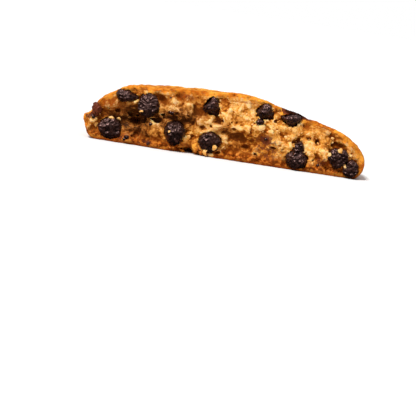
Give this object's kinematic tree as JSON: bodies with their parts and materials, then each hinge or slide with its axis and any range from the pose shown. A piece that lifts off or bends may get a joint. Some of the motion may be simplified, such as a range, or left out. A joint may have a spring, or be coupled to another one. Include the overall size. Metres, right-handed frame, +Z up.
{
  "type": "chocolate chip cookie half",
  "caption": "Half of a thick round chocolate chip cookie, snapped across: a domed crust, a flat base, and a rough crumb face with chips set in it.",
  "frame": {"origin": "on the flat base, under the middle of the bounding box", "axes": "+X runs along the break, +Y goes into the cookie away from the broken face, which looks along -Y, and +Z is up from the base to the domed crust"},
  "size_m": [0.0906, 0.0545, 0.0211],
  "materials": {
    "dough": "baked dough: golden brown rough crust, paler amber crumb in the break",
    "chocolate": "dark chocolate, satin with a dull bloom"
  },
  "bodies": {
    "root": {"dough": "dough", "chip_break_oval": "chocolate", "chip_break_round": "chocolate", "chip_break_left": "chocolate", "chip_break_drop": "chocolate", "chip_break_middle": "chocolate", "chip_break_corner": "chocolate", "chip_break_slant": "chocolate", "chip_break_crust": "chocolate", "chip_break_kiss": "chocolate", "chip_break_lobed": "chocolate", "chip_break_tip": "chocolate", "chip_break_edge": "chocolate", "chip_crown_1": "chocolate", "chip_crown_2": "chocolate", "chip_crown_3": "chocolate", "chip_crown_4": "chocolate", "chip_crown_5": "chocolate", "chip_crown_6": "chocolate", "chip_crown_7": "chocolate", "chip_crown_8": "chocolate", "chip_crown_9": "chocolate", "chip_rim_1": "chocolate", "chip_rim_2": "chocolate", "chip_rim_3": "chocolate", "chip_rim_4": "chocolate", "chip_base_1": "chocolate", "chip_base_2": "chocolate", "chip_base_3": "chocolate", "chip_base_4": "chocolate", "chip_base_5": "chocolate"}
  },
  "joints": []
}
